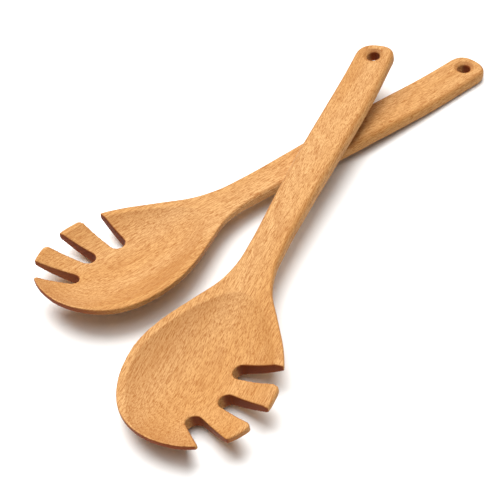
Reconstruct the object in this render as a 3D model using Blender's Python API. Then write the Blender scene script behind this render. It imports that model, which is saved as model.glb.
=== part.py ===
"""A pair of solid beech salad servers, one lying across the other.

Each server is one piece of wood: a flat handle with a hang hole, a bowed neck and a
shallow dished bowl with three fanned slots that open through one side of its rim.
The two are mirror images.  Metres, +Z up, table top at z = 0.
"""
import bpy
import bmesh
import numpy as np
from math import cos, pi, radians, sin
from mathutils import Euler, Matrix, Vector

# ---------------------------------------------------------------- driving dimensions
# Along a server x runs from the handle end to the bowl tip, y to its slotted side.
LENGTH = 0.301
END_REACH = 0.011          # length of the rounded handle end
END_SQUARENESS = 2.5       # 2 is an ellipse, more is squarer
WIDEST_AT = 0.259          # where the bowl is widest
FRONT_SQUARENESS = 2.15

# (distance along the server, value there)
HALF_WIDTH = (
    (0.011, 0.0112), (0.050, 0.0118), (0.100, 0.0112), (0.140, 0.0099),
    (0.172, 0.0092), (0.188, 0.0100), (0.202, 0.0135), (0.218, 0.0219),
    (0.235, 0.0307), (0.248, 0.0352), (0.259, 0.0365),
)
SIDE_SWEEP = (
    (0.0, 0.0), (0.060, -0.0006), (0.150, -0.0016), (0.190, -0.0012),
    (0.225, -0.0002), (0.250, 0.0004), (0.290, 0.0004), (0.301, 0.0004),
)
TOP_HEIGHT = (
    (0.0, 0.0072), (0.035, 0.0070), (0.100, 0.0107), (0.160, 0.0127),
    (0.200, 0.0134), (0.250, 0.0154), (0.285, 0.0157), (0.301, 0.0176),
)
EDGE_THICKNESS = (
    (0.0, 0.0071), (0.035, 0.0071), (0.090, 0.0077), (0.140, 0.0075),
    (0.175, 0.0062), (0.205, 0.0036), (0.230, 0.0032), (0.301, 0.0032),
)
BELLY_DEPTH = (
    (0.130, 0.0), (0.160, 0.0008), (0.190, 0.0027), (0.215, 0.0064),
    (0.240, 0.0110), (0.262, 0.0124), (0.281, 0.0082), (0.293, 0.0042), (0.301, 0.0),
)
# Power of the curve across the belly: 2 is a parabola, more is fuller
SLOTTED_FULLNESS = 1.8
PLAIN_FULLNESS = 2.7
CANT_DEG = ((0.0, 0.0), (0.100, 0.0), (0.150, -1.2), (0.205, -4.0), (0.301, -3.6))
EDGE_RADIUS = (
    (0.0, 0.0024), (0.040, 0.0031), (0.120, 0.0031), (0.190, 0.0016),
    (0.215, 0.0006), (0.301, 0.0005),
)

# Dish of the bowl: the bottom cap of an ellipsoid that widens towards the tip
DISH_AT = 0.2285
DISH_HALF_LENGTH = 0.0419
DISH_HALF_WIDTH = 0.0230
DISH_DEPTH = 0.0050
DISH_CURVE = 0.045         # vertical half axis of the ellipsoid
DISH_SLOPE_DEG = -7.28
DISH_TAPER = 0.351         # growth of the width from the middle to the front end

# Slots: x and y of the inner end's centre, heading from the long axis and flare in degrees
SLOTS = (
    (0.2490, 0.0148, 86.8, 7.6), (0.2668, 0.0152, 69.0, 8.0), (0.2828, 0.0065, 51.2, 12.0),
)
SLOT_RADIUS = 0.0040
SLOT_REACH = 0.034

# Hang hole
HOLE_AT = 0.0105
HOLE_RADIUS = 0.0037
HOLE_MOUTH_RADIUS = 0.0060
HOLE_SINK = 0.0013         # depth of the countersink
HOLE_FOOT = 0.0002         # rounding of the lower mouth

CUTTER_OVERRUN = 0.02      # how far a cutter runs past the wood
LOWER_COLOR = (0.66, 0.39, 0.20)
UPPER_COLOR = (0.70, 0.43, 0.22)

# How the pair lies: the upper handle clears the lower one by 0.3 mm
LOWER_AT = (0.0028, 0.0450)
LOWER_YAW_DEG = 219.2
UPPER_AT = (0.0034, -0.0027, 0.00766)
UPPER_YAW_DEG = 246.8
UPPER_PITCH_DEG = 3.84
UPPER_ROLL_DEG = 6.7
PIVOT_AT = 0.150           # the local point that each placing refers to


def smooth(stations, x):
    """Cubic Hermite curve through the stations, level at both ends."""
    xs = np.array([s[0] for s in stations])
    ys = np.array([s[1] for s in stations])
    slope = np.gradient(ys, xs)
    slope[0] = 0.0
    slope[-1] = 0.0
    x = np.clip(x, xs[0], xs[-1])
    k = np.clip(np.searchsorted(xs, x) - 1, 0, len(xs) - 2)
    h = xs[k + 1] - xs[k]
    t = (x - xs[k]) / h
    value = (2 * t + 1) * (1 - t) ** 2 * ys[k] + t * t * (3 - 2 * t) * ys[k + 1]
    return value + h * (t * (1 - t) ** 2 * slope[k] - t * t * (1 - t) * slope[k + 1])


def outline(cap=7, middle=26, front=11):
    """One side of the outline, from the handle end round to the bowl tip."""
    a = np.linspace(0, pi / 2, cap)
    power = 2 / END_SQUARENESS
    end = np.c_[END_REACH * (1 - np.cos(a) ** power), HALF_WIDTH[0][1] * np.sin(a) ** power]
    x = np.linspace(END_REACH, WIDEST_AT, middle + 1)[1:]
    side = np.c_[x, smooth(HALF_WIDTH, x)]
    b = np.linspace(0, pi / 2, front + 1)[1:]
    power = 2 / FRONT_SQUARENESS
    tip_x = WIDEST_AT + (LENGTH - WIDEST_AT) * np.sin(b) ** power
    tip = np.c_[tip_x, HALF_WIDTH[-1][1] * np.abs(np.cos(b)) ** power]
    tip[-1, 1] = 0.0
    return np.vstack([end, side, tip])


def outward(points):
    """Outward directions of the outline points, in the plane of the outline."""
    d = np.gradient(points, axis=0)
    n = np.c_[-d[:, 1], d[:, 0]]
    n /= np.linalg.norm(n, axis=1)[:, None]
    n[0] = (-1, 0)
    n[-1] = (1, 0)
    return n


def half_section(points, fullness, arc=3):
    """Rows of (x, y, drop below the top face) from the middle of the top to the belly."""
    n = outward(points)
    radius = smooth(EDGE_RADIUS, points[:, 0])
    thick = smooth(EDGE_THICKNESS, points[:, 0])

    def inset(distance):
        p = points - distance[:, None] * n
        return p[:, 0], np.maximum(p[:, 1], 0.0)

    x_in, y_in = inset(radius)
    rows = [(x_in, y_in * f, 0 * x_in) for f in (0.0, 0.34, 0.68)]
    turns = np.linspace(0, pi / 2, arc + 1)
    for a in turns:
        x, y = inset(radius * (1 - sin(a)))
        rows.append((x, y, radius * (1 - cos(a))))
    for a in turns[::-1]:
        x, y = inset(radius * (1 - sin(a)))
        rows.append((x, y, thick - radius * (1 - cos(a))))
    for f in (0.9, 0.78, 0.64, 0.48, 0.32, 0.16, 0.0):
        belly = smooth(BELLY_DEPTH, x_in) * (1 - f ** fullness)
        rows.append((x_in, y_in * f, smooth(EDGE_THICKNESS, x_in) + belly))
    return rows


def body_mesh(side):
    """Loft of the server's solid body; side is +1 or -1 for the slotted side."""
    points = outline()
    slotted = half_section(points, SLOTTED_FULLNESS)
    plain = half_section(points, PLAIN_FULLNESS)
    ring = [(r, 1) for r in slotted] + [(r, -1) for r in plain[-2:0:-1]]
    bm = bmesh.new()
    grid = []
    for (x, y, drop), half in ring:
        y = y * half
        cant = np.tan(np.radians(smooth(CANT_DEG, x)))
        z = smooth(TOP_HEIGHT, x) + y * cant - drop
        y = side * (y + smooth(SIDE_SWEEP, x))
        grid.append([bm.verts.new(p) for p in zip(x, y, z)])
    for j, row in enumerate(grid):
        following = grid[(j + 1) % len(grid)]
        for i in range(len(row) - 1):
            bm.faces.new((row[i], row[i + 1], following[i + 1], following[i]))
    bmesh.ops.remove_doubles(bm, verts=bm.verts, dist=2e-5)
    bmesh.ops.dissolve_degenerate(bm, edges=bm.edges, dist=1e-6)
    bmesh.ops.triangulate(bm, faces=[f for f in bm.faces if len(f.verts) > 4])
    bmesh.ops.recalc_face_normals(bm, faces=bm.faces)
    return bm


def new_object(name, bm, collection):
    mesh = bpy.data.meshes.new(name)
    bm.to_mesh(mesh)
    bm.free()
    obj = bpy.data.objects.new(name, mesh)
    collection.objects.link(obj)
    return obj


def dish_cutter(name, side, collection):
    """Tapered ellipsoid whose lowest cap is the dish."""
    spread = (1 - ((DISH_CURVE - DISH_DEPTH) / DISH_CURVE) ** 2) ** 0.5
    bm = bmesh.new()
    bmesh.ops.create_uvsphere(bm, u_segments=48, v_segments=34, radius=1.0)
    size = (DISH_HALF_LENGTH / spread, DISH_HALF_WIDTH / spread, DISH_CURVE)
    bmesh.ops.scale(bm, vec=size, verts=bm.verts)
    for v in bm.verts:
        v.co.y *= 1 + DISH_TAPER * v.co.x / DISH_HALF_LENGTH
    bmesh.ops.translate(bm, vec=(0, 0, DISH_CURVE - DISH_DEPTH), verts=bm.verts)
    cant = float(smooth(CANT_DEG, DISH_AT))
    turn = Euler((radians(side * cant), radians(-DISH_SLOPE_DEG), 0)).to_matrix()
    bmesh.ops.rotate(bm, matrix=turn, verts=bm.verts)
    bmesh.ops.translate(bm, vec=(DISH_AT, 0, smooth(TOP_HEIGHT, DISH_AT)), verts=bm.verts)
    return new_object(name, bm, collection)


def slot_cutter(name, slot, side, collection):
    """Upright flared slot with a round inner end."""
    x, y, heading, flare = slot
    half_flare = flare / 2
    first = radians(90 + half_flare)
    last = radians(270 - half_flare)
    angles = np.linspace(first, last, 13)
    ring = [(SLOT_RADIUS * cos(a), SLOT_RADIUS * sin(a)) for a in angles]
    spread = SLOT_RADIUS + SLOT_REACH * sin(radians(half_flare))
    ring += [(SLOT_REACH, -spread), (SLOT_REACH, spread)]
    bm = bmesh.new()
    turn = Matrix.Rotation(radians(heading), 3, "Z")
    inner_end = Vector((x, y, -CUTTER_OVERRUN))
    floor = [bm.verts.new(turn @ Vector((u, v, 0)) + inner_end) for u, v in ring]
    face = bm.faces.new(floor)
    grown = bmesh.ops.extrude_face_region(bm, geom=[face])
    top = [v for v in grown["geom"] if isinstance(v, bmesh.types.BMVert)]
    bmesh.ops.translate(bm, vec=(0, 0, 3 * CUTTER_OVERRUN), verts=top)
    if side < 0:
        bmesh.ops.scale(bm, vec=(1, -1, 1), verts=bm.verts)
    bmesh.ops.recalc_face_normals(bm, faces=bm.faces)
    return new_object(name, bm, collection)


def hole_cutter(name, side, collection):
    """Round bore with a countersink above and a rounded mouth below, made by turning."""
    x = HOLE_AT
    top = float(smooth(TOP_HEIGHT, x))
    bottom = top - float(smooth(EDGE_THICKNESS, x))
    below = bottom - CUTTER_OVERRUN
    above = top + CUTTER_OVERRUN
    profile = [(0.0, below), (HOLE_RADIUS + HOLE_FOOT, below)]
    for a in np.linspace(0, pi / 2, 3):
        profile.append((HOLE_RADIUS + HOLE_FOOT * (1 - sin(a)), bottom + HOLE_FOOT * (1 - cos(a))))
    profile += [(HOLE_RADIUS, top - HOLE_SINK), (HOLE_MOUTH_RADIUS, top)]
    profile += [(HOLE_MOUTH_RADIUS, above), (0.0, above)]
    bm = bmesh.new()
    verts = [bm.verts.new((r, 0, z)) for r, z in profile]
    edges = [bm.edges.new(pair) for pair in zip(verts, verts[1:])]
    bmesh.ops.spin(
        bm, geom=verts + edges, cent=(0, 0, 0), axis=(0, 0, 1),
        angle=2 * pi, steps=28, use_merge=True,
    )
    bmesh.ops.remove_doubles(bm, verts=bm.verts, dist=1e-6)
    bmesh.ops.recalc_face_normals(bm, faces=bm.faces)
    centre = (x, side * float(smooth(SIDE_SWEEP, x)), 0)
    bmesh.ops.translate(bm, vec=centre, verts=bm.verts)
    return new_object(name, bm, collection)


def rest_cutter(name, collection):
    """Block below the table plane; it leaves small flats under the handle and the bowl."""
    bm = bmesh.new()
    bmesh.ops.create_cube(bm, size=1.0)
    size = (LENGTH + 2 * CUTTER_OVERRUN, LENGTH / 2, CUTTER_OVERRUN)
    bmesh.ops.scale(bm, vec=size, verts=bm.verts)
    bmesh.ops.translate(bm, vec=(LENGTH / 2, 0, -CUTTER_OVERRUN / 2), verts=bm.verts)
    return new_object(name, bm, collection)


def cut(obj, cutter):
    step = obj.modifiers.new(cutter.name, "BOOLEAN")
    step.operation = "DIFFERENCE"
    step.solver = "EXACT"
    step.object = cutter


def beech(name, color):
    mat = bpy.data.materials.new(name)
    mat.use_nodes = True
    shader = mat.node_tree.nodes["Principled BSDF"]
    shader.inputs["Base Color"].default_value = (*color, 1.0)
    shader.inputs["Roughness"].default_value = 0.55
    return mat


def server(name, side, color, parts, cutters):
    """One whole server in its own axes."""
    obj = new_object(name, body_mesh(side), parts)
    obj.data.materials.append(beech(name + "_beech", color))
    tools = [dish_cutter(name + "_dish", side, cutters), hole_cutter(name + "_hole", side, cutters)]
    for number, slot in enumerate(SLOTS, 1):
        tools.append(slot_cutter("%s_slot_%d" % (name, number), slot, side, cutters))
    tools.append(rest_cutter(name + "_rest", cutters))
    for tool in tools:
        cut(obj, tool)
        tool.hide_render = True
        tool.display_type = "WIRE"
    return obj, tools


def place(obj, tools, matrix):
    for item in [obj] + tools:
        item.location = matrix.to_translation()
        item.rotation_euler = matrix.to_euler()


def lying(at, yaw, pitch, roll):
    turn = Matrix.Rotation(radians(yaw), 4, "Z") @ Matrix.Rotation(radians(pitch), 4, "Y")
    turn = turn @ Matrix.Rotation(radians(roll), 4, "X")
    return Matrix.Translation(at) @ turn @ Matrix.Translation((-PIVOT_AT, 0, 0))


for old in list(bpy.data.objects):
    bpy.data.objects.remove(old, do_unlink=True)

servers = bpy.data.collections.new("salad_servers")
cutting = bpy.data.collections.new("salad_servers_cutters")
bpy.context.scene.collection.children.link(servers)
bpy.context.scene.collection.children.link(cutting)

lower, lower_tools = server("lower_server", -1, LOWER_COLOR, servers, cutting)
place(lower, lower_tools, lying((*LOWER_AT, 0), LOWER_YAW_DEG, 0, 0))

upper, upper_tools = server("upper_server", 1, UPPER_COLOR, servers, cutting)
place(upper, upper_tools, lying(UPPER_AT, UPPER_YAW_DEG, UPPER_PITCH_DEG, UPPER_ROLL_DEG))
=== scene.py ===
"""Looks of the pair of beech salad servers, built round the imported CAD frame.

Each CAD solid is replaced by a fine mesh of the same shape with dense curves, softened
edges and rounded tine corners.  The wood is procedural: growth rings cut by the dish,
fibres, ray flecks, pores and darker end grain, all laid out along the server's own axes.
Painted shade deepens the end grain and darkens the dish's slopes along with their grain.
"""
from math import cos, pi, radians, sin

import bmesh
import bpy
import numpy as np
from mathutils import Matrix, Vector


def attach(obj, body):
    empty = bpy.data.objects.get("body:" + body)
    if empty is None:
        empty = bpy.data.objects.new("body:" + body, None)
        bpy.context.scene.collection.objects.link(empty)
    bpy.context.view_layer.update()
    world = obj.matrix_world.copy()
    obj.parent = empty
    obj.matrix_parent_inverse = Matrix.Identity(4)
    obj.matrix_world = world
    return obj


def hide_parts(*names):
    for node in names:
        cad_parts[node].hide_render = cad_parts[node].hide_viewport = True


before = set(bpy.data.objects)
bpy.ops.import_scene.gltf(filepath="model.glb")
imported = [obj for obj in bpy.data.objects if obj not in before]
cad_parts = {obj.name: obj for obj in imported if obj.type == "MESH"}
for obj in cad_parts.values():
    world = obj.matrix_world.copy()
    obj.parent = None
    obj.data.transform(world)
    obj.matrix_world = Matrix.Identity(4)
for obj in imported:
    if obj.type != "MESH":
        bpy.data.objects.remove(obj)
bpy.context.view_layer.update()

# ---------------------------------------------------------------- shape of one server
# Metres.  x runs from the handle end to the bowl tip, y to the slotted side.
LENGTH = 0.301
END_REACH = 0.011          # length of the rounded handle end
END_SQUARENESS = 2.5       # powers of the outline's two round ends; 2 is an ellipse
FRONT_SQUARENESS = 2.15
WIDEST_AT = 0.259

# (distance along the server, value there)
HALF_WIDTH = (
    (0.011, 0.0112), (0.050, 0.0118), (0.100, 0.0112), (0.140, 0.0099),
    (0.172, 0.0092), (0.188, 0.0100), (0.202, 0.0135), (0.218, 0.0219),
    (0.235, 0.0307), (0.248, 0.0352), (0.259, 0.0365),
)
SIDE_SWEEP = (
    (0.0, 0.0), (0.060, -0.0006), (0.150, -0.0016), (0.190, -0.0012),
    (0.225, -0.0002), (0.250, 0.0004), (0.290, 0.0004), (0.301, 0.0004),
)
TOP_HEIGHT = (
    (0.0, 0.0072), (0.035, 0.0070), (0.100, 0.0107), (0.160, 0.0127),
    (0.200, 0.0134), (0.250, 0.0154), (0.285, 0.0157), (0.301, 0.0176),
)
EDGE_THICKNESS = (
    (0.0, 0.0071), (0.035, 0.0071), (0.090, 0.0077), (0.140, 0.0075),
    (0.175, 0.0062), (0.205, 0.0036), (0.230, 0.0032), (0.301, 0.0032),
)
BELLY_DEPTH = (
    (0.130, 0.0), (0.160, 0.0008), (0.190, 0.0027), (0.215, 0.0064),
    (0.240, 0.0110), (0.262, 0.0124), (0.281, 0.0082), (0.293, 0.0042), (0.301, 0.0),
)
# Power across the belly: 2 is a parabola, more is fuller
SLOTTED_FULLNESS = 1.8
PLAIN_FULLNESS = 2.7
CANT_DEG = ((0.0, 0.0), (0.100, 0.0), (0.150, -1.2), (0.205, -4.0), (0.301, -3.6))
EDGE_RADIUS = (
    (0.0, 0.0024), (0.040, 0.0031), (0.120, 0.0031), (0.190, 0.0016),
    (0.215, 0.0006), (0.301, 0.0005),
)

DISH_AT = 0.2285
DISH_HALF_LENGTH = 0.0419
DISH_HALF_WIDTH = 0.0230
DISH_DEPTH = 0.0050
DISH_CURVE = 0.045         # height of the ellipsoid that the dish is a cap of
DISH_SLOPE_DEG = -7.28
DISH_TAPER = 0.351         # growth of the dish's width from its middle to its front end

# Slots: x and y of the round inner end, heading and flare in degrees
SLOTS = (
    (0.2490, 0.0148, 86.8, 7.6), (0.2668, 0.0152, 69.0, 8.0), (0.2828, 0.0065, 51.2, 12.0),
)
SLOT_RADIUS = 0.0040
SLOT_REACH = 0.034
# Plan radii of the corners at each slot's mouth, towards the handle and towards the tip
REAR_CORNER = 0.0006
FRONT_CORNERS = (0.0024, 0.0024, 0.0012)

HOLE_AT = 0.0105
HOLE_RADIUS = 0.0037
HOLE_MOUTH_RADIUS = 0.0060
HOLE_SINK = 0.0013         # depth of the countersink
HOLE_FOOT = 0.0002         # rounding of the hole's lower mouth

# How the pair lies: each server turns about the point PIVOT_AT along it
PIVOT_AT = 0.150
LOWER_AT = (0.0028, 0.0450, 0.0)
LOWER_YAW_DEG = 219.2
UPPER_AT = (0.0034, -0.0027, 0.00766)
UPPER_YAW_DEG = 246.8
UPPER_PITCH_DEG = 3.84
UPPER_ROLL_DEG = 6.7

# ---------------------------------------------------------------- fineness of the meshes
END_POINTS = 24            # points of the outline round the handle end
SIDE_POINTS = 150          # along the side, up to the widest place
TIP_POINTS = 56            # from there round to the tip
TOP_ROWS = (0.0, 0.3, 0.6, 0.85)    # fractions of the top's half width
EDGE_STEPS = 8             # steps of each rounded edge
BELLY_ROWS = 14
DISH_SEGMENTS = (160, 110)
SLOT_END_POINTS = 40
CORNER_POINTS = 8
HOLE_STEPS = 72
HOLE_FOOT_POINTS = 5
MERGE_WITHIN = 2.5e-5      # joins the loft's points at its ends, so that it is closed
TOLERANCE = 1e-6
CUTTER_OVERRUN = 0.02
CORNER_OVERRUN = 0.004
VOXEL = 0.0005
SMOOTHING_ROUNDS = 2       # these soften every edge a little
SMOOTHING_FACTOR = 0.5


def smooth(stations, x):
    """Cubic Hermite curve through the stations, level at both ends."""
    xs = np.array([s[0] for s in stations])
    ys = np.array([s[1] for s in stations])
    slope = np.gradient(ys, xs)
    slope[0] = 0.0
    slope[-1] = 0.0
    x = np.clip(x, xs[0], xs[-1])
    k = np.clip(np.searchsorted(xs, x) - 1, 0, len(xs) - 2)
    h = xs[k + 1] - xs[k]
    t = (x - xs[k]) / h
    value = (2 * t + 1) * (1 - t) ** 2 * ys[k] + t * t * (3 - 2 * t) * ys[k + 1]
    return value + h * (t * (1 - t) ** 2 * slope[k] - t * t * (1 - t) * slope[k + 1])


def outline():
    """One side of the outline, from the handle end round to the bowl tip."""
    a = np.linspace(0, pi / 2, END_POINTS)
    power = 2 / END_SQUARENESS
    end = np.c_[END_REACH * (1 - np.cos(a) ** power), HALF_WIDTH[0][1] * np.sin(a) ** power]
    x = np.linspace(END_REACH, WIDEST_AT, SIDE_POINTS + 1)[1:]
    side = np.c_[x, smooth(HALF_WIDTH, x)]
    b = np.linspace(0, pi / 2, TIP_POINTS + 1)[1:]
    power = 2 / FRONT_SQUARENESS
    tip_x = WIDEST_AT + (LENGTH - WIDEST_AT) * np.sin(b) ** power
    tip = np.c_[tip_x, HALF_WIDTH[-1][1] * np.abs(np.cos(b)) ** power]
    tip[-1, 1] = 0.0
    return np.vstack([end, side, tip])


def outward(points):
    """Outward directions of the outline points, in the plane of the outline."""
    d = np.gradient(points, axis=0)
    n = np.c_[-d[:, 1], d[:, 0]]
    n /= np.linalg.norm(n, axis=1)[:, None]
    n[0] = (-1, 0)
    n[-1] = (1, 0)
    return n


def half_section(points, fullness):
    """Rows of (x, y, drop below the top face) from the middle of the top to the belly."""
    n = outward(points)
    radius = smooth(EDGE_RADIUS, points[:, 0])
    thick = smooth(EDGE_THICKNESS, points[:, 0])

    def inset(distance):
        p = points - distance[:, None] * n
        return p[:, 0], np.maximum(p[:, 1], 0.0)

    x_in, y_in = inset(radius)
    rows = [(x_in, y_in * f, 0 * x_in) for f in TOP_ROWS]
    turns = np.linspace(0, pi / 2, EDGE_STEPS + 1)
    for a in turns:
        x, y = inset(radius * (1 - sin(a)))
        rows.append((x, y, radius * (1 - cos(a))))
    for a in turns[::-1]:
        x, y = inset(radius * (1 - sin(a)))
        rows.append((x, y, thick - radius * (1 - cos(a))))
    for f in np.linspace(1, 0, BELLY_ROWS + 1)[1:]:
        belly = smooth(BELLY_DEPTH, x_in) * (1 - f ** fullness)
        rows.append((x_in, y_in * f, smooth(EDGE_THICKNESS, x_in) + belly))
    return rows


def body_mesh(side):
    """Loft of the server's solid body; side is +1 or -1 for the slotted side."""
    points = outline()
    slotted = half_section(points, SLOTTED_FULLNESS)
    plain = half_section(points, PLAIN_FULLNESS)
    ring = [(row, 1) for row in slotted] + [(row, -1) for row in plain[-2:0:-1]]
    bm = bmesh.new()
    grid = []
    for (x, y, drop), half in ring:
        y = y * half
        cant = np.tan(np.radians(smooth(CANT_DEG, x)))
        z = smooth(TOP_HEIGHT, x) + y * cant - drop
        y = side * (y + smooth(SIDE_SWEEP, x))
        grid.append([bm.verts.new(p) for p in zip(x, y, z)])
    for j, row in enumerate(grid):
        following = grid[(j + 1) % len(grid)]
        for i in range(len(row) - 1):
            bm.faces.new((row[i], row[i + 1], following[i + 1], following[i]))
    bmesh.ops.remove_doubles(bm, verts=bm.verts, dist=MERGE_WITHIN)
    bmesh.ops.dissolve_degenerate(bm, edges=bm.edges, dist=TOLERANCE)
    bmesh.ops.triangulate(bm, faces=bm.faces)
    bmesh.ops.recalc_face_normals(bm, faces=bm.faces)
    return bm


def new_object(name, bm):
    mesh = bpy.data.meshes.new(name)
    bm.to_mesh(mesh)
    bm.free()
    obj = bpy.data.objects.new(name, mesh)
    bpy.context.scene.collection.objects.link(obj)
    return obj


def dish_cutter(side):
    """Tapered ellipsoid whose lowest cap is the dish."""
    spread = (1 - ((DISH_CURVE - DISH_DEPTH) / DISH_CURVE) ** 2) ** 0.5
    around, upward = DISH_SEGMENTS
    bm = bmesh.new()
    bmesh.ops.create_uvsphere(bm, u_segments=around, v_segments=upward, radius=1.0)
    size = (DISH_HALF_LENGTH / spread, DISH_HALF_WIDTH / spread, DISH_CURVE)
    bmesh.ops.scale(bm, vec=size, verts=bm.verts)
    for v in bm.verts:
        v.co.y *= 1 + DISH_TAPER * v.co.x / DISH_HALF_LENGTH
    bmesh.ops.translate(bm, vec=(0, 0, DISH_CURVE - DISH_DEPTH), verts=bm.verts)
    cant = radians(side * float(smooth(CANT_DEG, DISH_AT)))
    turn = Matrix.Rotation(radians(-DISH_SLOPE_DEG), 3, "Y") @ Matrix.Rotation(cant, 3, "X")
    bmesh.ops.rotate(bm, matrix=turn, verts=bm.verts)
    bmesh.ops.translate(bm, vec=(DISH_AT, 0, smooth(TOP_HEIGHT, DISH_AT)), verts=bm.verts)
    return new_object("dish_cutter", bm)


def nearest_on(line, p):
    """Nearest point to p on a polyline, and its distance."""
    a = line[:-1]
    d = line[1:] - a
    t = np.clip(((p - a) * d).sum(1) / (d * d).sum(1), 0, 1)
    feet = a + t[:, None] * d
    gaps = np.linalg.norm(feet - p, axis=1)
    k = int(gaps.argmin())
    return feet[k], gaps[k]


def edge_y(edge, x):
    """The outline's y at x; beyond its end it is 0."""
    return float(np.interp(x, edge[:, 0], edge[:, 1], right=0.0))


def tine_corner(start, direction, normal, radius, edge):
    """Points that round the corner between a slot's side and the outline."""
    near, far = 0.0, SLOT_REACH
    while far - near > TOLERANCE:
        t = (near + far) / 2
        centre = start + t * direction + radius * normal
        inside = nearest_on(edge, centre)[1] > radius and centre[1] < edge_y(edge, centre[0])
        near, far = (t, far) if inside else (near, t)
    centre = start + near * direction + radius * normal
    first = -normal
    last = (nearest_on(edge, centre)[0] - centre) / radius
    turn = np.arctan2(first[0] * last[1] - first[1] * last[0], first @ last)
    points = []
    for a in np.linspace(0, turn, CORNER_POINTS):
        c, s = cos(a), sin(a)
        spoke = np.array((c * first[0] - s * first[1], s * first[0] + c * first[1]))
        points.append(centre + radius * spoke)
    points.append(points[-1] + CORNER_OVERRUN * last)
    return points


def slot_cutter(slot, side, edge, front_corner):
    """Upright flared slot with a round inner end and rounded corners at its mouth."""
    x, y, heading, flare = slot
    half_flare = flare / 2
    angles = np.radians(np.linspace(90 + half_flare, 270 - half_flare, SLOT_END_POINTS))
    ring = [SLOT_RADIUS * np.array((cos(a), sin(a))) for a in angles]
    spread = SLOT_RADIUS + SLOT_REACH * sin(radians(half_flare))
    turn = np.array(Matrix.Rotation(radians(heading), 2))
    centre = np.array((x, y))
    ring = [turn @ p + centre for p in ring]
    corners = []
    for start, half, radius in ((ring[-1], -1, front_corner), (ring[0], 1, REAR_CORNER)):
        end = turn @ np.array((SLOT_REACH, half * spread)) + centre
        direction = (end - start) / np.linalg.norm(end - start)
        normal = half * np.array((-direction[1], direction[0]))
        corners.append(tine_corner(start, direction, normal, radius, edge) + [end])
    ring += corners[0] + corners[1][::-1]
    bm = bmesh.new()
    floor = [bm.verts.new((p[0], p[1], -CUTTER_OVERRUN)) for p in ring]
    face = bm.faces.new(floor)
    grown = bmesh.ops.extrude_face_region(bm, geom=[face])
    top = [v for v in grown["geom"] if isinstance(v, bmesh.types.BMVert)]
    bmesh.ops.translate(bm, vec=(0, 0, 3 * CUTTER_OVERRUN), verts=top)
    bmesh.ops.triangulate(bm, faces=bm.faces)
    if side < 0:
        bmesh.ops.scale(bm, vec=(1, -1, 1), verts=bm.verts)
    bmesh.ops.recalc_face_normals(bm, faces=bm.faces)
    return new_object("slot_cutter", bm)


def hole_cutter(side):
    """Round bore with a countersink above and a rounded mouth below, made by turning."""
    top = float(smooth(TOP_HEIGHT, HOLE_AT))
    bottom = top - float(smooth(EDGE_THICKNESS, HOLE_AT))
    below = bottom - CUTTER_OVERRUN
    above = top + CUTTER_OVERRUN
    profile = [(0.0, below), (HOLE_RADIUS + HOLE_FOOT, below)]
    for a in np.linspace(0, pi / 2, HOLE_FOOT_POINTS):
        profile.append((HOLE_RADIUS + HOLE_FOOT * (1 - sin(a)), bottom + HOLE_FOOT * (1 - cos(a))))
    profile += [(HOLE_RADIUS, top - HOLE_SINK), (HOLE_MOUTH_RADIUS, top)]
    profile += [(HOLE_MOUTH_RADIUS, above), (0.0, above)]
    bm = bmesh.new()
    verts = [bm.verts.new((r, 0, z)) for r, z in profile]
    edges = [bm.edges.new(pair) for pair in zip(verts, verts[1:])]
    bmesh.ops.spin(
        bm, geom=verts + edges, cent=(0, 0, 0), axis=(0, 0, 1),
        angle=2 * pi, steps=HOLE_STEPS, use_merge=True,
    )
    bmesh.ops.remove_doubles(bm, verts=bm.verts, dist=TOLERANCE)
    bmesh.ops.recalc_face_normals(bm, faces=bm.faces)
    centre = (HOLE_AT, side * float(smooth(SIDE_SWEEP, HOLE_AT)), 0)
    bmesh.ops.translate(bm, vec=centre, verts=bm.verts)
    return new_object("hole_cutter", bm)


def rest_cutter():
    """Block below the table plane; it leaves small flats under the handle and the bowl."""
    bm = bmesh.new()
    bmesh.ops.create_cube(bm, size=1.0)
    size = (LENGTH + 2 * CUTTER_OVERRUN, LENGTH / 2, CUTTER_OVERRUN)
    bmesh.ops.scale(bm, vec=size, verts=bm.verts)
    bmesh.ops.translate(bm, vec=(LENGTH / 2, 0, -CUTTER_OVERRUN / 2), verts=bm.verts)
    return new_object("rest_cutter", bm)


def bake_modifiers(obj):
    """Replaces the object's mesh by what its modifiers make of it."""
    view = bpy.context.evaluated_depsgraph_get()
    mesh = bpy.data.meshes.new_from_object(obj.evaluated_get(view), depsgraph=view)
    mesh.materials.clear()
    obj.modifiers.clear()
    obj.data = mesh


def server_mesh(name, side, matrix):
    """Fine mesh of one server in the row frame, with softened edges."""
    obj = new_object(name, body_mesh(side))
    points = outline()
    edge = np.c_[points[:, 0], points[:, 1] + smooth(SIDE_SWEEP, points[:, 0])]
    tools = [dish_cutter(side), hole_cutter(side), rest_cutter()]
    tools += [slot_cutter(slot, side, edge, front) for slot, front in zip(SLOTS, FRONT_CORNERS)]
    for tool in tools:
        step = obj.modifiers.new("cut", "BOOLEAN")
        step.operation = "DIFFERENCE"
        step.solver = "MANIFOLD"
        step.object = tool
    bake_modifiers(obj)
    for tool in tools:
        bpy.data.objects.remove(tool)
    fine = obj.modifiers.new("fine", "REMESH")
    fine.mode = "VOXEL"
    fine.voxel_size = VOXEL
    soft = obj.modifiers.new("soft", "SMOOTH")
    soft.factor = SMOOTHING_FACTOR
    soft.iterations = SMOOTHING_ROUNDS
    bake_modifiers(obj)
    obj.data.transform(matrix)
    obj.data.shade_smooth()
    return obj


def lying(at, yaw, pitch, roll):
    """Place of a server in the row frame, from its turns in degrees."""
    turn = Matrix.Rotation(radians(yaw), 4, "Z") @ Matrix.Rotation(radians(pitch), 4, "Y")
    turn = turn @ Matrix.Rotation(radians(roll), 4, "X")
    return Matrix.Translation(at) @ turn @ Matrix.Translation((-PIVOT_AT, 0, 0))


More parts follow.
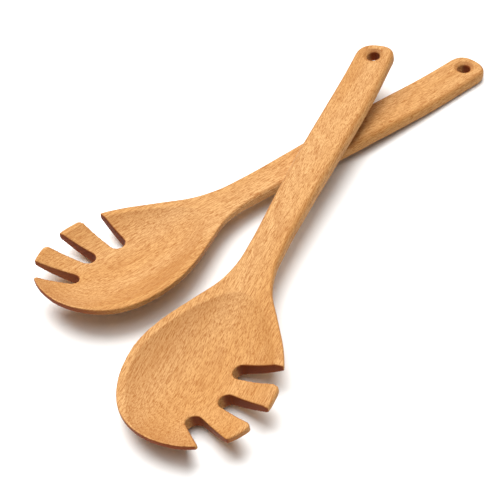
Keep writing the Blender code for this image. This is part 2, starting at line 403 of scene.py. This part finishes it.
# ---------------------------------------------------------------- beech
MM = 1000.0                # the wood's own coordinates are in millimetres
PALE = (0.640, 0.370, 0.155)
WARM = (0.555, 0.286, 0.095)
LINE = (0.330, 0.120, 0.028)
# the end grain's own darker colours, deepened further with painted shade
END_GRAIN_AND_SHADE = (0.150, 0.018, 0.004)
END_PALE_AND_SHADE = (0.330, 0.110, 0.032)

# Where each server lies in its log: offset of the noise, and (y, z) of the log's heart, mm
LOWER_CUT = ((40, 15, 70), (6, -58))
UPPER_CUT = ((410, 230, 20), (-4, -50))

# Noise: (frequency per mm along x, y and z), detail, roughness
RING_WANDER = ((0.010, 0.035, 0.035), 2.0, 0.5)
RING_RIPPLE = ((0.05, 0.5, 0.5), 2.0, 0.5)
TONE = ((0.007, 0.05, 0.05), 2.0, 0.5)
TONE_BAND = (0.25, 0.75)

RING_SPACING = 0.95        # mm
RING_WANDER_MM = 5.0
RING_RIPPLE_MM = 0.35
LATE_BAND = (0.55, 0.97)   # part of each ring that darkens into late wood
LATE_SHARE = 0.27          # how far late wood takes the colour towards LINE
SLOPE_GRAIN_AND_SHADE_SHARE = 0.32        # how far the dish's slopes take it there: darker grain and painted shade
STEEP_BAND = (0.90, 0.995)  # upward part of the normal, from a slope to a flat
UPWARD_BAND = (0.5, 0.8)   # from the sides to the top face

# Marks laid on in this order: noise, band of it that counts, share of LINE
MARKS = {
    "fibre": (((0.055, 1.5, 1.5), 4.0, 0.6), (0.42, 0.68), 0.34),
    "mottle": (((0.10, 0.16, 0.16), 3.0, 0.6), (0.45, 0.80), 0.07),
    "figure": (((0.28, 0.06, 0.10), 3.0, 0.55), (0.50, 0.78), 0.12),
    "fleck": (((0.22, 2.3, 2.3), 2.0, 0.6), (0.53, 0.61), 0.80),
    "pore": (((0.6, 2.8, 2.8), 1.0, 0.5), (0.50, 0.66), 0.55),
}

# End grain, deepened with painted shade: part of the normal along the fibres, its share, and what
# stripes it
END_BAND = (0.22, 0.95)
END_GRAIN_AND_SHADE_SHARE = 0.97
END_LATE = 0.45
END_FIBRE = 0.30

# Finish
BUMP_FIBRE = 0.7
BUMP_FLECK = -0.3
BUMP_LATE = 0.15
BUMP_STRENGTH = 0.22
BUMP_HEIGHT = 0.0002
GLOSS_BAND = (0.3, 0.75)   # of the fibre noise
ROUGHNESS = (0.46, 0.62)
SPECULAR = 0.07


class Nodes:
    """Short way to add and join shader nodes."""

    def __init__(self, material):
        material.use_nodes = True
        self.tree = material.node_tree
        self.tree.nodes.clear()

    def add(self, kind, **settings):
        node = self.tree.nodes.new("ShaderNode" + kind)
        for key, value in settings.items():
            setattr(node, key, value)
        return node

    def feed(self, socket, value):
        if isinstance(value, bpy.types.NodeSocket):
            self.tree.links.new(value, socket)
        else:
            socket.default_value = value

    def math(self, operation, a, b=0.0):
        node = self.add("Math", operation=operation)
        self.feed(node.inputs[0], a)
        self.feed(node.inputs[1], b)
        return node.outputs[0]

    def weighted(self, *pairs):
        """Sum of the values times their weights."""
        terms = [self.math("MULTIPLY", value, weight) for value, weight in pairs]
        total = terms[0]
        for term in terms[1:]:
            total = self.math("ADD", total, term)
        return total

    def scaled(self, vector, scale, offset=(0, 0, 0)):
        node = self.add("Mapping")
        self.feed(node.inputs["Vector"], vector)
        node.inputs["Scale"].default_value = scale
        node.inputs["Location"].default_value = offset
        return node.outputs[0]

    def noise(self, vector, frequency, detail, roughness):
        node = self.add("TexNoise")
        self.feed(node.inputs["Vector"], self.scaled(vector, frequency))
        node.inputs["Scale"].default_value = 1.0
        node.inputs["Detail"].default_value = detail
        node.inputs["Roughness"].default_value = roughness
        return node.outputs["Fac"]

    def band(self, value, low, high, to_low=0.0, to_high=1.0):
        """Smooth step from to_low at low to to_high at high."""
        node = self.add("MapRange", interpolation_type="SMOOTHSTEP")
        self.feed(node.inputs["Value"], value)
        node.inputs["From Min"].default_value = low
        node.inputs["From Max"].default_value = high
        node.inputs["To Min"].default_value = to_low
        node.inputs["To Max"].default_value = to_high
        return node.outputs[0]

    def mix(self, amount, a, b):
        """Colour mix of a and b, each a socket or three numbers."""
        node = self.add("Mix", data_type="RGBA")
        self.feed(node.inputs["Factor"], amount)
        for socket, value in ((node.inputs[6], a), (node.inputs[7], b)):
            self.feed(socket, (*value, 1.0) if isinstance(value, tuple) else value)
        return node.outputs[2]

    def darkened(self, base, mark, share):
        """Base colour taken towards LINE where the mark is."""
        return self.mix(self.math("MULTIPLY", mark, share), base, LINE)


def late_wood(n, wood, plank, pith):
    """Growth rings round the pith, wandering slowly along the plank; 1 in late wood."""
    wander = n.noise(plank, *RING_WANDER)
    distance = n.add("VectorMath", operation="LENGTH")
    n.feed(distance.inputs[0], n.scaled(wood, (0.0, 1, 1), (0, -pith[0], -pith[1])))
    radius = n.math("ADD", distance.outputs["Value"], n.math("MULTIPLY", wander, RING_WANDER_MM))
    ripple = n.noise(plank, *RING_RIPPLE)
    radius = n.math("ADD", radius, n.math("MULTIPLY", ripple, RING_RIPPLE_MM))
    phase = n.math("FRACT", n.math("DIVIDE", radius, RING_SPACING))
    return n.band(phase, *LATE_BAND)


def beech(name, matrix, offset, pith):
    """Plain-sawn beech in the server's own axes; pith is the (y, z) of the log's heart in mm."""
    material = bpy.data.materials.new(name)
    n = Nodes(material)
    coordinates = n.add("TexCoord")
    to_wood = matrix.inverted()
    turn = n.add("Mapping")
    n.feed(turn.inputs["Vector"], coordinates.outputs["Object"])
    turn.inputs["Rotation"].default_value = to_wood.to_euler()
    turn.inputs["Location"].default_value = to_wood.to_translation()
    wood = n.scaled(turn.outputs[0], (MM, MM, MM))
    plank = n.scaled(wood, (1, 1, 1), offset)

    # the surface's normal, along and across the fibres
    normal = n.add("Mapping", vector_type="VECTOR")
    n.feed(normal.inputs["Vector"], coordinates.outputs["Normal"])
    normal.inputs["Rotation"].default_value = to_wood.to_euler()
    axis = n.add("SeparateXYZ")
    n.feed(axis.inputs[0], normal.outputs[0])
    along, upward = axis.outputs[0], axis.outputs[2]

    # broad tone; the carved slopes of the dish show more open, darker grain than the flats, and
    # painted shade darkens them too
    base = n.mix(n.band(n.noise(plank, *TONE), *TONE_BAND), PALE, WARM)
    steep = n.band(upward, *STEEP_BAND, 1.0, 0.0)
    slope_grain_and_shade = n.math("MULTIPLY", steep, n.band(upward, *UPWARD_BAND))
    base = n.darkened(base, slope_grain_and_shade, SLOPE_GRAIN_AND_SHADE_SHARE)
    late = late_wood(n, wood, plank, pith)
    base = n.darkened(base, late, LATE_SHARE)
    noises = {}
    marks = {}
    for mark, (noise, limits, share) in MARKS.items():
        noises[mark] = n.noise(plank, *noise)
        marks[mark] = n.band(noises[mark], *limits)
        base = n.darkened(base, marks[mark], share)
    fibre = noises["fibre"]

    # end grain where the surface cuts across the fibres; painted shade makes it darker and redder
    # than the grain alone
    end = n.band(n.math("ABSOLUTE", along), *END_BAND)
    stripes = n.weighted((late, END_LATE), (fibre, END_FIBRE))
    ends = n.mix(stripes, END_GRAIN_AND_SHADE, END_PALE_AND_SHADE)
    base = n.mix(n.math("MULTIPLY", end, END_GRAIN_AND_SHADE_SHARE), base, ends)

    grain = n.weighted((fibre, BUMP_FIBRE), (marks["fleck"], BUMP_FLECK), (late, BUMP_LATE))
    bump = n.add("Bump")
    bump.inputs["Strength"].default_value = BUMP_STRENGTH
    bump.inputs["Distance"].default_value = BUMP_HEIGHT
    n.feed(bump.inputs["Height"], grain)

    shader = n.add("BsdfPrincipled")
    n.feed(shader.inputs["Base Color"], base)
    n.feed(shader.inputs["Roughness"], n.band(fibre, *GLOSS_BAND, *ROUGHNESS))
    shader.inputs["Specular IOR Level"].default_value = SPECULAR
    n.feed(shader.inputs["Normal"], bump.outputs[0])
    out = n.add("OutputMaterial")
    n.feed(out.inputs["Surface"], shader.outputs[0])
    return material


# ---------------------------------------------------------------- the two servers
lower_matrix = lying(LOWER_AT, LOWER_YAW_DEG, 0, 0)
upper_matrix = lying(UPPER_AT, UPPER_YAW_DEG, UPPER_PITCH_DEG, UPPER_ROLL_DEG)

lower = server_mesh("lower_server_wood", -1, lower_matrix)
lower.data.materials.append(beech("lower_beech", lower_matrix, *LOWER_CUT))
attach(lower, "lower")
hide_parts("lower_server")

upper = server_mesh("upper_server_wood", 1, upper_matrix)
upper.data.materials.append(beech("upper_beech", upper_matrix, *UPPER_CUT))
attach(upper, "upper")
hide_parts("upper_server")


# ---------------------------------------------------------------- stage
FLOOR_HALF_SIZE = 6.0
FLOOR_DROP = 0.0001        # keeps the floor just clear of the flats
FLOOR_WHITE = (0.92, 0.92, 0.91, 1)
FLOOR_ROUGHNESS = 0.9
FLOOR_SPECULAR = 0.1

# Suns: name, direction of the light, its apparent width in degrees, strength
SUNS = (
    ("key", (-0.25, 0.60, 1.35), 62.0, 4.0),
    ("overhead", (0.0, -0.20, 1.60), 53.0, 1.3),
)
SKY_STRENGTH = 0.17

ELEVATION_DEG = 42.67
ROLL_DEG = -2.43
DISTANCE = 0.6963
TARGET = (-0.01678, -0.00669, 0)
SENSOR_MM = 36.0
LENS_MM = 99.2


def plain_floor():
    """White table top under the servers."""
    bm = bmesh.new()
    bmesh.ops.create_grid(bm, x_segments=1, y_segments=1, size=FLOOR_HALF_SIZE)
    floor = new_object("table_top", bm)
    floor.location.z = -FLOOR_DROP
    material = bpy.data.materials.new("white_table")
    n = Nodes(material)
    shader = n.add("BsdfPrincipled")
    shader.inputs["Base Color"].default_value = FLOOR_WHITE
    shader.inputs["Roughness"].default_value = FLOOR_ROUGHNESS
    shader.inputs["Specular IOR Level"].default_value = FLOOR_SPECULAR
    out = n.add("OutputMaterial")
    n.feed(out.inputs["Surface"], shader.outputs[0])
    floor.data.materials.append(material)


def soft_sun(name, source, angle_deg, strength):
    """Even light over the whole floor from a wide soft source in the given direction."""
    data = bpy.data.lights.new(name, "SUN")
    data.angle = radians(angle_deg)
    data.energy = strength
    light = bpy.data.objects.new(name, data)
    light.rotation_euler = (-Vector(source)).to_track_quat("-Z", "Y").to_euler()
    bpy.context.scene.collection.objects.link(light)


def daylight():
    """Even white sky."""
    world = bpy.data.worlds.new("studio")
    world.use_nodes = True
    world.node_tree.nodes["Background"].inputs["Color"].default_value = (1, 1, 1, 1)
    world.node_tree.nodes["Background"].inputs["Strength"].default_value = SKY_STRENGTH
    bpy.context.scene.world = world


def photograph_camera():
    """Camera at the photograph's viewing angle."""
    elevation = radians(ELEVATION_DEG)
    roll = radians(ROLL_DEG)
    forward = Vector((0, cos(elevation), -sin(elevation)))
    level = Vector((1, 0, 0))
    upright = Vector((0, sin(elevation), cos(elevation)))
    right = level * cos(roll) + upright * sin(roll)
    up = upright * cos(roll) - level * sin(roll)
    data = bpy.data.cameras.new("camera")
    data.sensor_width = SENSOR_MM
    data.lens = LENS_MM
    camera = bpy.data.objects.new("camera", data)
    axes = Matrix((right, up, -forward)).transposed()
    place = Matrix.Translation(Vector(TARGET) - forward * DISTANCE)
    camera.matrix_world = place @ axes.to_4x4()
    bpy.context.scene.collection.objects.link(camera)
    bpy.context.scene.camera = camera


plain_floor()
for sun in SUNS:
    soft_sun(*sun)
daylight()
photograph_camera()
bpy.context.scene.view_settings.view_transform = "Standard"
